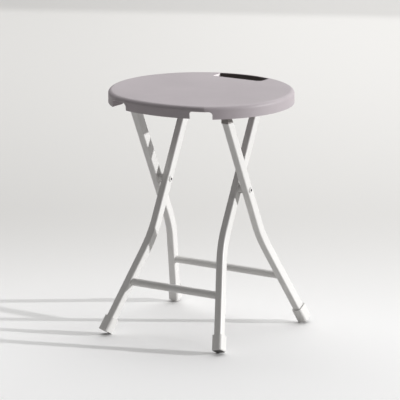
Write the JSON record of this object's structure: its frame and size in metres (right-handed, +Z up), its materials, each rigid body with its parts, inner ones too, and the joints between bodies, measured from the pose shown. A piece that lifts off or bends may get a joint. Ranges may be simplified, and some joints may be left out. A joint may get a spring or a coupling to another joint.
{
  "type": "folding_stool",
  "caption": "Folding stool with a round moulded plastic seat with a hand hole, on crossed white tube frames with plastic foot caps",
  "frame": {"origin": "middle of the stool's footprint, on the floor", "axes": "+X along the pivots, to the sitter's left when the hand hole is behind; +Y towards the hand hole; +Z up"},
  "size_m": [0.3384, 0.3296, 0.45],
  "materials": {
    "seat_plastic": "fine matte moulded",
    "white_powder_coat": "satin powder coat",
    "white_plastic": "smooth moulded",
    "grey_plastic": "smooth moulded",
    "zinc_steel": "zinc plated",
    "dark_steel": "black coated"
  },
  "bodies": {
    "outer_frame": {"outer_leg_left": "white_powder_coat", "outer_leg_right": "white_powder_coat", "outer_stretcher": "white_powder_coat", "outer_foot_left": "white_plastic", "outer_foot_right": "white_plastic", "hinge_fitting_left": "grey_plastic", "hinge_fitting_right": "grey_plastic", "hinge_rod": "zinc_steel", "rod_cap_left": "grey_plastic", "rod_cap_right": "grey_plastic", "pivot_rivet_left": "zinc_steel", "pivot_rivet_right": "zinc_steel", "pivot_spacer_left": "white_plastic", "pivot_spacer_right": "white_plastic"},
    "inner_frame": {"inner_leg_left": "white_powder_coat", "inner_leg_right": "white_powder_coat", "inner_stretcher": "white_powder_coat", "inner_top_bar": "white_powder_coat", "inner_foot_left": "white_plastic", "inner_foot_right": "white_plastic", "inner_leg_plug_left": "white_plastic", "inner_leg_plug_right": "white_plastic"},
    "seat_body": {"seat": "seat_plastic", "hinge_clip_left": "dark_steel", "hinge_clip_right": "dark_steel", "hinge_clip_screws": "zinc_steel"}
  },
  "joints": [
    {"name": "scissor_pivot", "type": "hinge", "parent": "outer_frame", "child": "inner_frame", "pos_m": [0, -0.0024, 0.2737], "axis": [1, 0, 0], "range_deg": [0, 46.8]},
    {"name": "seat_hinge", "type": "hinge", "parent": "outer_frame", "child": "seat_body", "pos_m": [0, -0.07494, 0.429], "axis": [1, 0, 0], "range_deg": [0, 112.32]}
  ],
  "couplings": [
    {"joint": "seat_hinge", "follows": "scissor_pivot", "ratio": 2.4}
  ]
}
